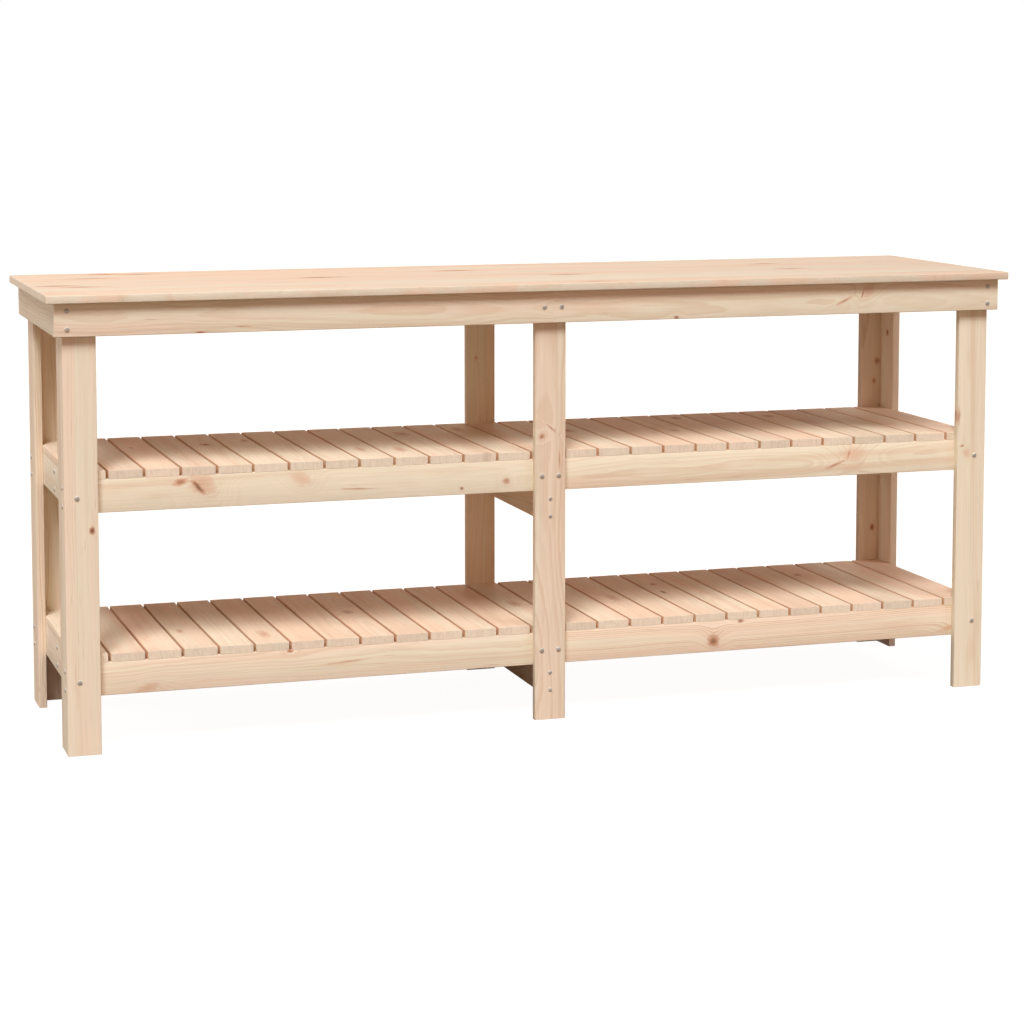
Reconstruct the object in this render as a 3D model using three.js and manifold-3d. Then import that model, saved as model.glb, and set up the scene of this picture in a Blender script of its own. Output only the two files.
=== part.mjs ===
// Potting bench: a long pine work table with a flat top and two slatted shelves on six legs.
//
// Millimetres, +Z up. The origin is on the floor, in the middle of the footprint. +X runs along the bench,
// and the front faces -Y. Every board is planed to one section, and boards that touch meet face to face.
import * as THREE from "three";
import Module from "manifold-3d";
import { mergeVertices } from "three/addons/utils/BufferGeometryUtils.js";

const wasm = await Module();
wasm.setup();

// ---- Driving dimensions -------------------------------------------------------------------------

const TOP_LENGTH = 1810; // along X
const TOP_DEPTH = 500; // along Y
const BENCH_HEIGHT = 800; // floor to the working surface
const TOP_THICKNESS = 14;
const TOP_OVERHANG = 14.5; // how far the top stands out past the apron, all round

const BOARD_WIDTH = 58; // planed width of every frame board
const BOARD_THICKNESS = 14.5; // planed thickness of every frame board and slat

const LOWER_RAIL_BOTTOM = 100; // floor to the lower shelf's rails
const UPPER_RAIL_BOTTOM = 420; // floor to the upper shelf's rails

const SLAT_WIDTH = 59;
const SLAT_GAP = 5; // wished-for drainage gap, which the count of slats rounds
const SLATS_PER_PANEL = 3; // neighbouring slats that share one node
const WEB_THICKNESS = 1; // strip on top of each rail that ties a panel's slats together

// ---- Planes worked out from them ----------------------------------------------------------------

// Half-sizes outwards from the middle, each plane one board further in.
const APRON_X = TOP_LENGTH / 2 - TOP_OVERHANG;
const APRON_Y = TOP_DEPTH / 2 - TOP_OVERHANG;
const LEG_X = APRON_X - BOARD_THICKNESS;
const LEG_Y = APRON_Y - BOARD_THICKNESS;
const SHELF_X = LEG_X - BOARD_THICKNESS;
const SHELF_Y = LEG_Y - BOARD_THICKNESS;

const TOP_UNDERSIDE = BENCH_HEIGHT - TOP_THICKNESS;
const APRON_BOTTOM = TOP_UNDERSIDE - BOARD_WIDTH;

// ---- Wood ---------------------------------------------------------------------------------------

const pine = (color) => new THREE.MeshStandardMaterial({ color, roughness: 0.62, metalness: 0 });
const TOP_PINE = pine(0xf2dcbb);
const APRON_PINE = pine(0xe6ccae);
const LEG_PINE = pine(0xe3c6a6);
const RAIL_PINE = pine(0xead0ae);
const SLAT_PINE = pine(0xe8c4a2);

const bench = new THREE.Group();

// A rectangular board that fills the space between two limits on each axis.
function addBoard(name, material, [x0, x1], [y0, y1], [z0, z1]) {
  const board = new THREE.Mesh(new THREE.BoxGeometry(x1 - x0, y1 - y0, z1 - z0), material);
  board.name = name;
  board.position.set((x0 + x1) / 2, (y0 + y1) / 2, (z0 + z1) / 2);
  bench.add(board);
}

// The limits [low, high] of a board that reaches from one plane inwards by its thickness, on either side.
const inwards = (plane, side, depth = BOARD_THICKNESS) =>
  side < 0 ? [-plane, -plane + depth] : [plane - depth, plane];

// The limits of a board that starts one thickness in from a plane and then runs on by its width.
const behind = (plane, side) => inwards(plane - BOARD_THICKNESS, side, BOARD_WIDTH);

// The limits of a piece of the given size centred on zero.
const centred = (size) => [-size / 2, size / 2];

// The two halves of a long run, which butt in the middle of the bench.
const half = (reach, side) => (side < 0 ? [-reach, 0] : [0, reach]);

const FRONT_BACK = { front: -1, back: 1 };
const LEFT_RIGHT = { left: -1, right: 1 };

// ---- Top and apron ------------------------------------------------------------------------------

function addTop() {
  addBoard("tabletop", TOP_PINE, centred(TOP_LENGTH), centred(TOP_DEPTH), [TOP_UNDERSIDE, BENCH_HEIGHT]);
}

// Front and back aprons are two boards each, and the side aprons fit between them.
function addApron() {
  const height = [APRON_BOTTOM, TOP_UNDERSIDE];
  for (const [across, ySide] of Object.entries(FRONT_BACK))
    for (const [along, xSide] of Object.entries(LEFT_RIGHT))
      addBoard(`apron_${across}_${along}`, APRON_PINE, half(APRON_X, xSide), inwards(APRON_Y, ySide), height);
  for (const [along, xSide] of Object.entries(LEFT_RIGHT))
    addBoard(`apron_side_${along}`, APRON_PINE, inwards(APRON_X, xSide), centred(2 * LEG_Y), height);
}

// ---- Legs ---------------------------------------------------------------------------------------

// A corner leg is two boards set as an angle: a face board across the front or back, and a side board
// behind it that stands flush with the face board's outer edge.
function addCornerLegs() {
  const height = [0, TOP_UNDERSIDE];
  for (const [across, ySide] of Object.entries(FRONT_BACK))
    for (const [along, xSide] of Object.entries(LEFT_RIGHT)) {
      const corner = `leg_${across}_${along}`;
      addBoard(`${corner}_face`, LEG_PINE, inwards(LEG_X, xSide, BOARD_WIDTH), inwards(LEG_Y, ySide), height);
      addBoard(`${corner}_side`, LEG_PINE, inwards(LEG_X, xSide), behind(LEG_Y, ySide), height);
    }
}

// A centre leg is one flat board over the butt joint of the apron and the rails.
function addCentreLegs() {
  for (const [across, ySide] of Object.entries(FRONT_BACK))
    addBoard(`leg_${across}_centre`, LEG_PINE, centred(BOARD_WIDTH), inwards(LEG_Y, ySide), [0, TOP_UNDERSIDE]);
}

// ---- Shelves ------------------------------------------------------------------------------------

// Side rails run from front to back inside the legs. Front, middle and back rails butt between them and
// meet in the middle of the bench, over a cross piece on edge.
function addShelfFrame(shelf, railBottom) {
  const height = [railBottom, railBottom + BOARD_WIDTH];
  const reach = SHELF_X - BOARD_THICKNESS;
  for (const [along, xSide] of Object.entries(LEFT_RIGHT)) {
    addBoard(`${shelf}_rail_side_${along}`, RAIL_PINE, inwards(SHELF_X, xSide), centred(2 * SHELF_Y), height);
    for (const [across, ySide] of Object.entries(FRONT_BACK))
      addBoard(`${shelf}_rail_${across}_${along}`, RAIL_PINE, half(reach, xSide), inwards(SHELF_Y, ySide), height);
    addBoard(`${shelf}_rail_middle_${along}`, RAIL_PINE, half(reach, xSide), centred(BOARD_THICKNESS), height);
  }
  addBoard(`${shelf}_cross_piece`, RAIL_PINE, centred(BOARD_THICKNESS), centred(2 * SHELF_Y), [
    railBottom - BOARD_WIDTH,
    railBottom,
  ]);
}

// A block as a manifold-3d solid.
function block([x0, x1], [y0, y1], [z0, z1]) {
  const box = new THREE.BoxGeometry(x1 - x0, y1 - y0, z1 - z0);
  box.translate((x0 + x1) / 2, (y0 + y1) / 2, (z0 + z1) / 2);
  box.deleteAttribute("normal");
  box.deleteAttribute("uv");
  const merged = mergeVertices(box);
  return new wasm.Manifold(
    new wasm.Mesh({
      numProp: 3,
      vertProperties: merged.attributes.position.array,
      triVerts: new Uint32Array(merged.index.array),
    }),
  );
}

// A solid's vertices and triangles as a geometry.
function geometryOf(solid) {
  const { numProp, vertProperties, triVerts } = solid.getMesh();
  const geometry = new THREE.BufferGeometry();
  const corners = new THREE.InterleavedBuffer(vertProperties, numProp);
  geometry.setAttribute("position", new THREE.InterleavedBufferAttribute(corners, 3, 0));
  geometry.setIndex(new THREE.BufferAttribute(triVerts, 1));
  return geometry;
}

// Slats lie across the rails at one even pitch. A panel is a few neighbours, tied by a thin strip that
// lies on each rail and closes nothing but the bottom of the gap there.
function addSlats(shelf, railBottom) {
  const bottom = railBottom + BOARD_WIDTH;
  const span = 2 * SHELF_X;
  const count = Math.round((span + SLAT_GAP) / (SLAT_WIDTH + SLAT_GAP));
  const pitch = (span - SLAT_WIDTH) / (count - 1);
  const slatStart = (index) => (index < count - 1 ? index * pitch - SHELF_X : SHELF_X - SLAT_WIDTH);
  const railLimits = [inwards(SHELF_Y, -1), centred(BOARD_THICKNESS), inwards(SHELF_Y, 1)];

  for (let first = 0; first < count; first += SLATS_PER_PANEL) {
    const last = Math.min(first + SLATS_PER_PANEL, count) - 1;
    let panel = null;
    for (let index = first; index <= last; index++) {
      const start = slatStart(index);
      const slat = block([start, start + SLAT_WIDTH], centred(2 * SHELF_Y), [bottom, bottom + BOARD_THICKNESS]);
      panel = panel ? panel.add(slat) : slat;
    }
    if (last > first) {
      const tie = [slatStart(first) + SLAT_WIDTH / 2, slatStart(last) + SLAT_WIDTH / 2];
      for (const rail of railLimits) panel = panel.add(block(tie, rail, [bottom, bottom + WEB_THICKNESS]));
    }
    const mesh = new THREE.Mesh(geometryOf(panel), SLAT_PINE);
    mesh.name = `${shelf}_slats_${first / SLATS_PER_PANEL + 1}`;
    bench.add(mesh);
  }
}

addTop();
addApron();
addCornerLegs();
addCentreLegs();
for (const [shelf, railBottom] of Object.entries({ upper: UPPER_RAIL_BOTTOM, lower: LOWER_RAIL_BOTTOM })) {
  addShelfFrame(shelf, railBottom);
  addSlats(shelf, railBottom);
}

export default bench;
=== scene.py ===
"""The looks of a long pine potting bench: a flat top on an apron frame, six legs and two slatted shelves.

Every board is remodelled with eased edges, in the place that the frame gives it, and carries its own
grain: where it lay in its log, how dark it is, and where its knots are. Metres, +Z up, front facing -Y.
"""

import logging
import math
import random
from collections.abc import Callable, Iterable, Iterator
from contextlib import contextmanager
from dataclasses import dataclass, field, replace
from enum import Enum

import bmesh
import bpy
import numpy as np
from mathutils import Matrix, Vector


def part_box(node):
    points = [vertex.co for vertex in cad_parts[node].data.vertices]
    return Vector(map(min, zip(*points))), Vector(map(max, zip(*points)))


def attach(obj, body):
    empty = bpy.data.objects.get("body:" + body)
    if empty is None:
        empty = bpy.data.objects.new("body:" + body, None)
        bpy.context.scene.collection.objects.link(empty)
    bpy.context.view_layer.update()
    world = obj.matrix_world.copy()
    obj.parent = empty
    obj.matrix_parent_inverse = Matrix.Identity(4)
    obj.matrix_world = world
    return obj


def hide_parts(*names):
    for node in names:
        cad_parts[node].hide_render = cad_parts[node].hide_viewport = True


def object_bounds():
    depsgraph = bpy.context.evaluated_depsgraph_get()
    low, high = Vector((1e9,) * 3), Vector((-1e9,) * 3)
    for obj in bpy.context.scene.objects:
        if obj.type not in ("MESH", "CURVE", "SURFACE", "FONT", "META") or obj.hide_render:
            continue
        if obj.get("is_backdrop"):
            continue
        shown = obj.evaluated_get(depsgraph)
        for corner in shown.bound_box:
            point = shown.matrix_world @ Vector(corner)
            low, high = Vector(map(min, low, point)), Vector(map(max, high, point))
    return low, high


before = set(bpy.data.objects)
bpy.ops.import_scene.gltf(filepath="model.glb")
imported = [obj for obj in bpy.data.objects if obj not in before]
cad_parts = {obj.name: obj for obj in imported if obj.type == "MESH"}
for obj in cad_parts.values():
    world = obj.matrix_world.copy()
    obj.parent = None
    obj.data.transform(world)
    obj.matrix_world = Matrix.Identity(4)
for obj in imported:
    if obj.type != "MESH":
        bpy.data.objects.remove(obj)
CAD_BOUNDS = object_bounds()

LOG = logging.getLogger("potting_bench")
BODY = "root"
MOST_KNOTS = 7
FAR_AWAY = 1000.0  # where a knot that a board doesn't have is put
SAME_PLACE = 1e-6
MOSTLY_FACING = 0.6  # the least share of a face's normal along an axis that it is said to face
FRONT_AND_BACK = (("front", -1.0), ("back", 1.0))
LEFT_AND_RIGHT = (("left", -1.0), ("right", 1.0))
SHELF_NAMES = ("upper", "lower")

Colour = tuple[float, float, float]
Piece = bpy.types.Object


class Axis(Enum):
    """A direction that a board's grain or wide face follows."""

    X = 0
    Y = 1
    Z = 2


# ---- Modelling helpers --------------------------------------------------------------------------


def deselect_all() -> None:
    """Clears the selection, so that the next operator acts on new work only."""
    bpy.ops.object.select_all(action="DESELECT")
    bpy.context.view_layer.objects.active = None


def select_only(piece: Piece) -> None:
    """Selects one piece and nothing else, and makes it the active one.

    Args:
        piece: The piece.
    """
    deselect_all()
    piece.select_set(True)
    bpy.context.view_layer.objects.active = piece


@contextmanager
def edit_mode(piece: Piece) -> Iterator[None]:
    """Opens one piece in edit mode with nothing selected.

    Args:
        piece: The piece to edit.

    Returns:
        A context at whose end edit mode is left again.
    """
    select_only(piece)
    bpy.ops.object.mode_set(mode="EDIT")
    bpy.ops.mesh.select_all(action="DESELECT")
    yield
    bpy.ops.object.mode_set(mode="OBJECT")


def select_edges(piece: Piece, test: Callable[[Vector, Vector], bool]) -> None:
    """Selects edges of a piece that is open in edit mode.

    Args:
        piece: The piece.
        test: Says whether an edge is wanted, from its two ends.
    """
    bpy.ops.mesh.select_mode(type="EDGE")
    mesh = bmesh.from_edit_mesh(piece.data)
    for edge in mesh.edges:
        edge.select_set(test(edge.verts[0].co, edge.verts[1].co))
    bmesh.update_edit_mesh(piece.data)


def select_faces(piece: Piece, test: Callable[[bmesh.types.BMFace], bool]) -> None:
    """Selects faces of a piece that is open in edit mode.

    Args:
        piece: The piece.
        test: Says whether a face is wanted.
    """
    bpy.ops.mesh.select_mode(type="FACE")
    mesh = bmesh.from_edit_mesh(piece.data)
    for face in mesh.faces:
        face.select_set(test(face))
    bmesh.update_edit_mesh(piece.data)


def smooth_up_to(piece: Piece, degrees: float) -> None:
    """Shades a piece smooth, but for the edges that are sharper than an angle."""
    select_only(piece)
    bpy.ops.object.shade_smooth_by_angle(angle=math.radians(degrees))


def settle(piece: Piece, name: str) -> Piece:
    """Moves a piece's place into its mesh and names it.

    Args:
        piece: The piece.
        name: Its name.

    Returns:
        The same piece.
    """
    select_only(piece)
    bpy.ops.object.transform_apply(location=True, rotation=True, scale=True)
    piece.name = name
    piece.data.name = name
    return piece


def copy_of(piece: Piece, name: str, place: Matrix) -> Piece:
    """Copies a finished piece, with a mesh of its own moved by a matrix.

    Args:
        piece: The piece to copy, at the origin.
        name: The copy's name.
        place: How the copy's mesh is turned and moved.

    Returns:
        The copy, linked to the scene.
    """
    copy = piece.copy()
    copy.data = piece.data.copy()
    copy.data.transform(place)
    copy.name = name
    copy.data.name = name
    bpy.context.scene.collection.objects.link(copy)
    return copy


def remove(piece: Piece) -> None:
    """Deletes a pattern and its mesh, once its copies are made.

    Args:
        piece: The pattern.
    """
    mesh = piece.data
    bpy.data.objects.remove(piece)
    bpy.data.meshes.remove(mesh)


def read(items: bpy.types.bpy_prop_collection, key: str, parts: int = 1,
         kind: type = np.float32) -> np.ndarray:
    """Reads a number or a vector from each part of a mesh.

    Args:
        items: The mesh's vertices, corners or faces.
        key: What to read from each.
        parts: How many numbers that is.
        kind: The kind of number.

    Returns:
        One row for each item.
    """
    values = np.empty(len(items) * parts, kind)
    items.foreach_get(key, values)
    return values.reshape(-1, parts)


def middle_of(node: str) -> Vector:
    """The middle of a node's box."""
    low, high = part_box(node)
    return (low + high) / 2


# ---- Shader helpers -----------------------------------------------------------------------------

Socket = bpy.types.NodeSocket
MIX_SHARE, MIX_FIRST, MIX_SECOND, MIX_RESULT = 0, 6, 7, 2  # a Mix node's sockets for colours
WHITE = (1.0, 1.0, 1.0, 1.0)
KNOT_HEART, KNOT_OUTLINE, KNOT_END = 0.60, 0.95, 1.25  # where parts of a knot end, in radii from its middle


class Grain(Enum):
    """The noise patterns of wood.

    Each holds how many features there are to a metre along the grain, across the wide face and through
    the thickness, then its octaves and its roughness.
    """

    FRAY = ((70.0, 170.0, 170.0), 3.0, 0.5)  # frays a knot's outline
    SWAY = ((1.7, 7.0, 7.0), 2.0, 0.5)  # bends the rings slowly
    QUIVER = ((12.0, 60.0, 60.0), 2.0, 0.5)  # and finely
    PACE = ((0.31, 5.0, 1.0), 1.0, 0.5)  # sets wide years beside narrow ones, by the year
    STRENGTH = ((0.77, 9.0, 1.0), 0.0, 0.5)  # makes a year's late wood weak or strong, by the year
    FIBRE = ((7.0, 520.0, 520.0), 4.0, 0.6)
    BAND = ((0.8, 45.0, 45.0), 2.0, 0.5)  # long darker bands
    CLOUD = ((1.6, 26.0, 26.0), 2.0, 0.5)  # drifts between greenish and pink
    SMOKE = ((5.0, 24.0, 24.0), 3.0, 0.5)  # short darker patches
    RESIN = ((14.0, 430.0, 430.0), 1.0, 0.5)  # thin resin lines
    PORES = ((300.0, 700.0, 700.0), 2.0, 0.7)  # the pits of a sawn end
    STRIPES = ((1.0, 230.0, 60.0), 2.0, 0.6)  # the upright bands of a sawn end


class Shading:
    """A material's node tree, with short ways to add the nodes that the finishes use."""

    def __init__(self, name: str) -> None:
        """Makes an empty material with one Principled shader.

        Args:
            name: The material's name.
        """
        self.material = bpy.data.materials.new(name)
        self.material.use_nodes = True
        self.tree = self.material.node_tree
        self.shader = self.tree.nodes["Principled BSDF"]

    def feed(self, socket: Socket, value: Socket | float | Iterable[float]) -> None:
        """Links a socket to another, or sets its value.

        Args:
            socket: The socket to feed.
            value: The other socket, or the value.
        """
        if isinstance(value, bpy.types.NodeSocket):
            self.tree.links.new(value, socket)
        else:
            socket.default_value = value

    def attribute(self, name: str, output: str = "Vector") -> Socket:
        """Reads an attribute that the mesh carries.

        Args:
            name: The attribute's name.
            output: Which output of the node is wanted.

        Returns:
            The attribute's value.
        """
        node = self.tree.nodes.new("ShaderNodeAttribute")
        node.attribute_name = name
        return node.outputs[output]

    def math(self, kind: str, *values: Socket | float) -> Socket:
        """Works out a number.

        Args:
            kind: The operation.
            values: What it works on.

        Returns:
            Its result.
        """
        node = self.tree.nodes.new("ShaderNodeMath")
        node.operation = kind
        for socket, value in zip(node.inputs, values):
            self.feed(socket, value)
        return node.outputs[0]

    def spread(self, value: Socket, reach: float) -> Socket:
        """Centres a value that runs from 0 to 1 on zero, and scales it."""
        return self.math("MULTIPLY", self.math("SUBTRACT", value, 0.5), reach)

    def vector(self, kind: str, *values: Socket | Iterable[float]) -> Socket:
        """Works out a vector, or a vector's length.

        Args:
            kind: The operation.
            values: What it works on.

        Returns:
            Its result.
        """
        node = self.tree.nodes.new("ShaderNodeVectorMath")
        node.operation = kind
        for socket, value in zip(node.inputs, values):
            self.feed(socket, value)
        return node.outputs["Value" if kind == "LENGTH" else "Vector"]

    def split(self, value: Socket) -> tuple[Socket, Socket, Socket]:
        """Splits a vector.

        Args:
            value: The vector.

        Returns:
            Its three parts.
        """
        node = self.tree.nodes.new("ShaderNodeSeparateXYZ")
        self.feed(node.inputs[0], value)
        return node.outputs[0], node.outputs[1], node.outputs[2]

    def join(self, x: Socket | float, y: Socket | float, z: Socket | float) -> Socket:
        """Joins three numbers.

        Args:
            x: The first.
            y: The second.
            z: The third.

        Returns:
            The vector that they make.
        """
        node = self.tree.nodes.new("ShaderNodeCombineXYZ")
        for socket, value in zip(node.inputs, (x, y, z)):
            self.feed(socket, value)
        return node.outputs[0]

    def noise(self, place: Socket, stretch: tuple[float, float, float], detail: float,
              roughness: float) -> Socket:
        """Smooth noise from 0 to 1.

        Args:
            place: Where to read it, in metres.
            stretch: How many features there are to a metre, each way.
            detail: How many octaves are added.
            roughness: How strong each octave is.

        Returns:
            The noise value.
        """
        node = self.tree.nodes.new("ShaderNodeTexNoise")
        self.feed(node.inputs["Vector"], self.vector("MULTIPLY", place, stretch))
        node.inputs["Scale"].default_value = 1.0
        node.inputs["Detail"].default_value = detail
        node.inputs["Roughness"].default_value = roughness
        return node.outputs["Fac"]

    def grain(self, place: Socket, pattern: Grain) -> Socket:
        """One of the wood's noise patterns, read at a place in the log."""
        return self.noise(place, *pattern.value)

    def step(self, value: Socket | float, low: float, high: float, to_low: float = 0.0,
             to_high: float = 1.0) -> Socket:
        """A smooth step of a value between two limits.

        Args:
            value: The value.
            low: The limit where the step starts.
            high: The limit where it ends.
            to_low: Its height up to the first limit.
            to_high: Its height past the second.

        Returns:
            The step's height.
        """
        node = self.tree.nodes.new("ShaderNodeMapRange")
        node.interpolation_type = "SMOOTHSTEP"
        self.feed(node.inputs[0], value)
        for socket, limit in zip(node.inputs[1:5], (low, high, to_low, to_high)):
            socket.default_value = limit
        return node.outputs[0]

    def mix(self, share: Socket | float, first: Socket | Colour, second: Socket | Colour,
            kind: str = "MIX") -> Socket:
        """Mixes two colours.

        Args:
            share: How much of the second is in the mix.
            first: The first colour.
            second: The second colour.
            kind: How they are mixed.

        Returns:
            The mixed colour.
        """
        node = self.tree.nodes.new("ShaderNodeMix")
        node.data_type = "RGBA"
        node.blend_type = kind
        node.clamp_factor = True
        self.feed(node.inputs[MIX_SHARE], share)
        for socket, colour in ((node.inputs[MIX_FIRST], first), (node.inputs[MIX_SECOND], second)):
            self.feed(socket, colour if isinstance(colour, bpy.types.NodeSocket) else (*colour, 1.0))
        return node.outputs[MIX_RESULT]

    def scale(self, colour: Socket, shade: Socket) -> Socket:
        """Makes a colour darker or paler by a number."""
        return self.mix(1.0, colour, self.join(shade, shade, shade), "MULTIPLY")

    def bump(self, height: Socket, distance: float, strength: float) -> None:
        """Feeds a height to the shader's normal.

        Args:
            height: The height, from 0 to 1.
            distance: How deep that is, in metres.
            strength: How strongly it shows.
        """
        node = self.tree.nodes.new("ShaderNodeBump")
        node.inputs["Strength"].default_value = strength
        node.inputs["Distance"].default_value = distance
        self.feed(node.inputs["Height"], height)
        self.feed(self.shader.inputs["Normal"], node.outputs[0])


# ---- Finishes -----------------------------------------------------------------------------------


@dataclass(frozen=True)
class PineFinish:
    """Fresh planed pine, read from each board's own grain marks.

    The mesh carries "grain", its place in the log with the pith at zero; "tone", how pale and how pink
    the board is and a number of its own; "figure", how strongly its rings show; "end_cut", 1 on sawn
    ends; "painted_gap_shade", 1 on the long sides that face another board a few millimetres away, which get
    painted shade for the narrow gap between them; and its knots.

    Attributes:
        name: The material's name.
        early: The colour of the pale early wood.
        late: The colour of the dark late wood.
        pink: The colour that its pink drifts go to.
        green: The colour that its greenish drifts go to.
        sawn: The colour of a sawn end.
        red_knot: The colour of a sound, pale knot.
        brown_knot: The colour of a darker one, and of resin.
        bark: The colour of a loose knot's heart.
        shadowed: The painted gap shade that the colour of a tight side is multiplied by.
        ring_width: How wide a year is, in metres.
        ring_contrast: How strongly late wood shows.
        hue_contrast: How strongly the drifts of colour show.
        band_contrast: How strongly the long bands show.
        smoke_contrast: How strongly the short patches show.
        resin_contrast: How strongly the resin lines show.
        halo_contrast: How strongly the wood round a knot darkens.
        rim_contrast: How strongly a dark knot's outline shows.
        fibre_contrast: How much the fibres vary the shade.
        tone_step: How much paler a board gets with each step of lightness.
        sawn_share: How much a sawn end takes the sawn colour.
        roughness: The roughness of its planed faces.
    """

    name: str
    early: Colour = (0.935, 0.865, 0.705)
    late: Colour = (0.74, 0.545, 0.36)
    pink: Colour = (0.93, 0.765, 0.61)
    green: Colour = (0.885, 0.845, 0.665)
    sawn: Colour = (0.935, 0.865, 0.71)
    red_knot: Colour = (0.81, 0.54, 0.385)
    brown_knot: Colour = (0.45, 0.20, 0.10)
    bark: Colour = (0.13, 0.05, 0.028)
    shadowed: Colour = (0.93, 0.80, 0.71)
    ring_width: float = 0.0031
    ring_contrast: float = 0.62
    hue_contrast: float = 0.62
    band_contrast: float = 0.42
    smoke_contrast: float = 0.34
    resin_contrast: float = 0.34
    halo_contrast: float = 0.60
    rim_contrast: float = 0.45
    fibre_contrast: float = 0.26
    tone_step: float = 0.055
    sawn_share: float = 0.65
    roughness: float = 0.6

    def _knots(self, s: Shading, ragged: Socket) -> dict[str, Socket | float]:
        """Adds up what the board's knots do to the wood round them.

        Args:
            s: The material being built.
            ragged: A fine noise that frays their outlines.

        Returns:
            How far the rings are pushed aside, and how strongly each part of a knot shows.
        """
        sums: dict[str, Socket | float] = {"push": 0.0, "wood": 0.0, "dark": 0.0, "rim": 0.0, "halo": 0.0}
        for index in range(MOST_KNOTS):
            name = f"knot_{index + 1}"
            along, across, radius = s.split(s.attribute(name))
            darkness = s.attribute(name, "Alpha")
            apart = s.vector("LENGTH", s.join(along, across, 0.0))
            frayed = s.math("MULTIPLY", apart, s.math("ADD", 0.40, s.math("MULTIPLY", ragged, 1.2)))
            hill = s.math("EXPONENT", s.math("MULTIPLY", s.math("MULTIPLY", apart, apart), -0.20))
            inside = s.step(frayed, KNOT_HEART, KNOT_END, 1.0, 0.0)
            rise = s.step(frayed, KNOT_HEART, KNOT_OUTLINE)
            edge = s.math("MULTIPLY", rise, s.step(frayed, KNOT_OUTLINE, KNOT_END, 1.0, 0.0))
            glow = s.math("EXPONENT", s.math("MULTIPLY", frayed, -0.85))
            heart = s.math("MULTIPLY", s.step(frayed, 0.10, KNOT_OUTLINE, 1.0, 0.25), darkness)
            filled = s.math("MULTIPLY", inside, s.step(darkness, 0.0, 0.35, 0.34, 0.94))
            pushed = s.math("MULTIPLY", hill, s.math("MULTIPLY", radius, 1.5))
            sums["push"] = s.math("ADD", sums["push"], pushed)
            sums["wood"] = s.math("MAXIMUM", sums["wood"], filled)
            sums["dark"] = s.math("MAXIMUM", sums["dark"], s.math("MULTIPLY", inside, heart))
            sums["rim"] = s.math("MAXIMUM", sums["rim"], s.math("MULTIPLY", edge, darkness))
            sums["halo"] = s.math("MAXIMUM", sums["halo"], s.step(glow, 0.03, 1.0))
        return sums

    def _late_wood(self, s: Shading, place: Socket, seed: Socket, push: Socket | float) -> Socket:
        """Works out the growth rings: pale early wood that darkens into late wood and breaks off sharply.

        Args:
            s: The material being built.
            place: The place in the log, moved by the board's own number.
            seed: The board's own number.
            push: How far the knots push the rings aside.

        Returns:
            How much late wood there is, from 0 to 1.
        """
        _, side, depth = s.split(s.attribute("grain"))
        sway = s.spread(s.grain(place, Grain.SWAY), 0.034)
        quiver = s.spread(s.grain(place, Grain.QUIVER), 0.0028)
        radius = s.vector("LENGTH", s.join(0.0, side, depth))
        radius = s.math("ADD", s.math("ADD", radius, sway), s.math("ADD", quiver, push))
        years = s.math("DIVIDE", radius, self.ring_width)
        pace = s.grain(s.join(years, seed, 0.0), Grain.PACE)
        years = s.math("ADD", years, s.math("MULTIPLY", pace, 2.2))
        season = s.math("FRACT", years)
        late = s.math("MULTIPLY", s.step(season, 0.15, 0.86), s.step(season, 0.88, 1.0, 1.0, 0.0))
        strength = s.grain(s.join(s.math("FLOOR", years), seed, 0.3), Grain.STRENGTH)
        late = s.math("MULTIPLY", late, s.step(strength, 0.30, 0.72, 0.15, 1.0))
        return s.math("MULTIPLY", late, s.attribute("figure", "Fac"))

    def _clear_wood(self, s: Shading, place: Socket, late: Socket, warmth: Socket, smoke: Socket) -> Socket:
        """Mixes the wood between the knots from its rings and the slow drifts that colour whole bands.

        Args:
            s: The material being built.
            place: The place in the log, moved by the board's own number.
            late: How much late wood there is.
            warmth: How pink the board is.
            smoke: The short darker patches.

        Returns:
            The wood's colour.
        """
        drift = s.math("ADD", s.grain(place, Grain.CLOUD), s.math("MULTIPLY", warmth, 0.16))
        hue = s.step(drift, 0.38, 0.62)
        band = s.step(s.grain(place, Grain.BAND), 0.50, 0.78, 0.0, self.band_contrast)
        resin = s.step(s.grain(place, Grain.RESIN), 0.72, 0.79)
        wood = s.mix(self.hue_contrast, self.early, s.mix(hue, self.green, self.pink))
        wood = s.mix(s.math("MULTIPLY", late, self.ring_contrast), wood, self.late)
        wood = s.mix(band, wood, self.late)
        wood = s.mix(s.math("MULTIPLY", s.step(smoke, 0.56, 0.80), self.smoke_contrast), wood, self.late)
        return s.mix(s.math("MULTIPLY", resin, self.resin_contrast), wood, self.brown_knot)

    def _with_knots(self, s: Shading, wood: Socket, knots: dict[str, Socket | float],
                    smoke: Socket) -> Socket:
        """Lays the knots over the clear wood.

        Args:
            s: The material being built.
            wood: The clear wood's colour.
            knots: How strongly each part of a knot shows.
            smoke: The short darker patches, which break up a knot too.

        Returns:
            The wood's colour, knots and all.
        """
        wood = s.mix(s.math("MULTIPLY", knots["halo"], self.halo_contrast), wood, self.late)
        body = s.mix(s.step(knots["dark"], 0.0, 0.50), self.red_knot, self.brown_knot)
        body = s.mix(s.step(knots["dark"], 0.45, 0.85), body, self.bark)
        shown = s.math("MULTIPLY", knots["wood"], s.step(smoke, 0.25, 0.60, 0.62, 0.98))
        wood = s.mix(shown, wood, body)
        return s.mix(s.math("MULTIPLY", knots["rim"], self.rim_contrast), wood, self.brown_knot)

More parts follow.
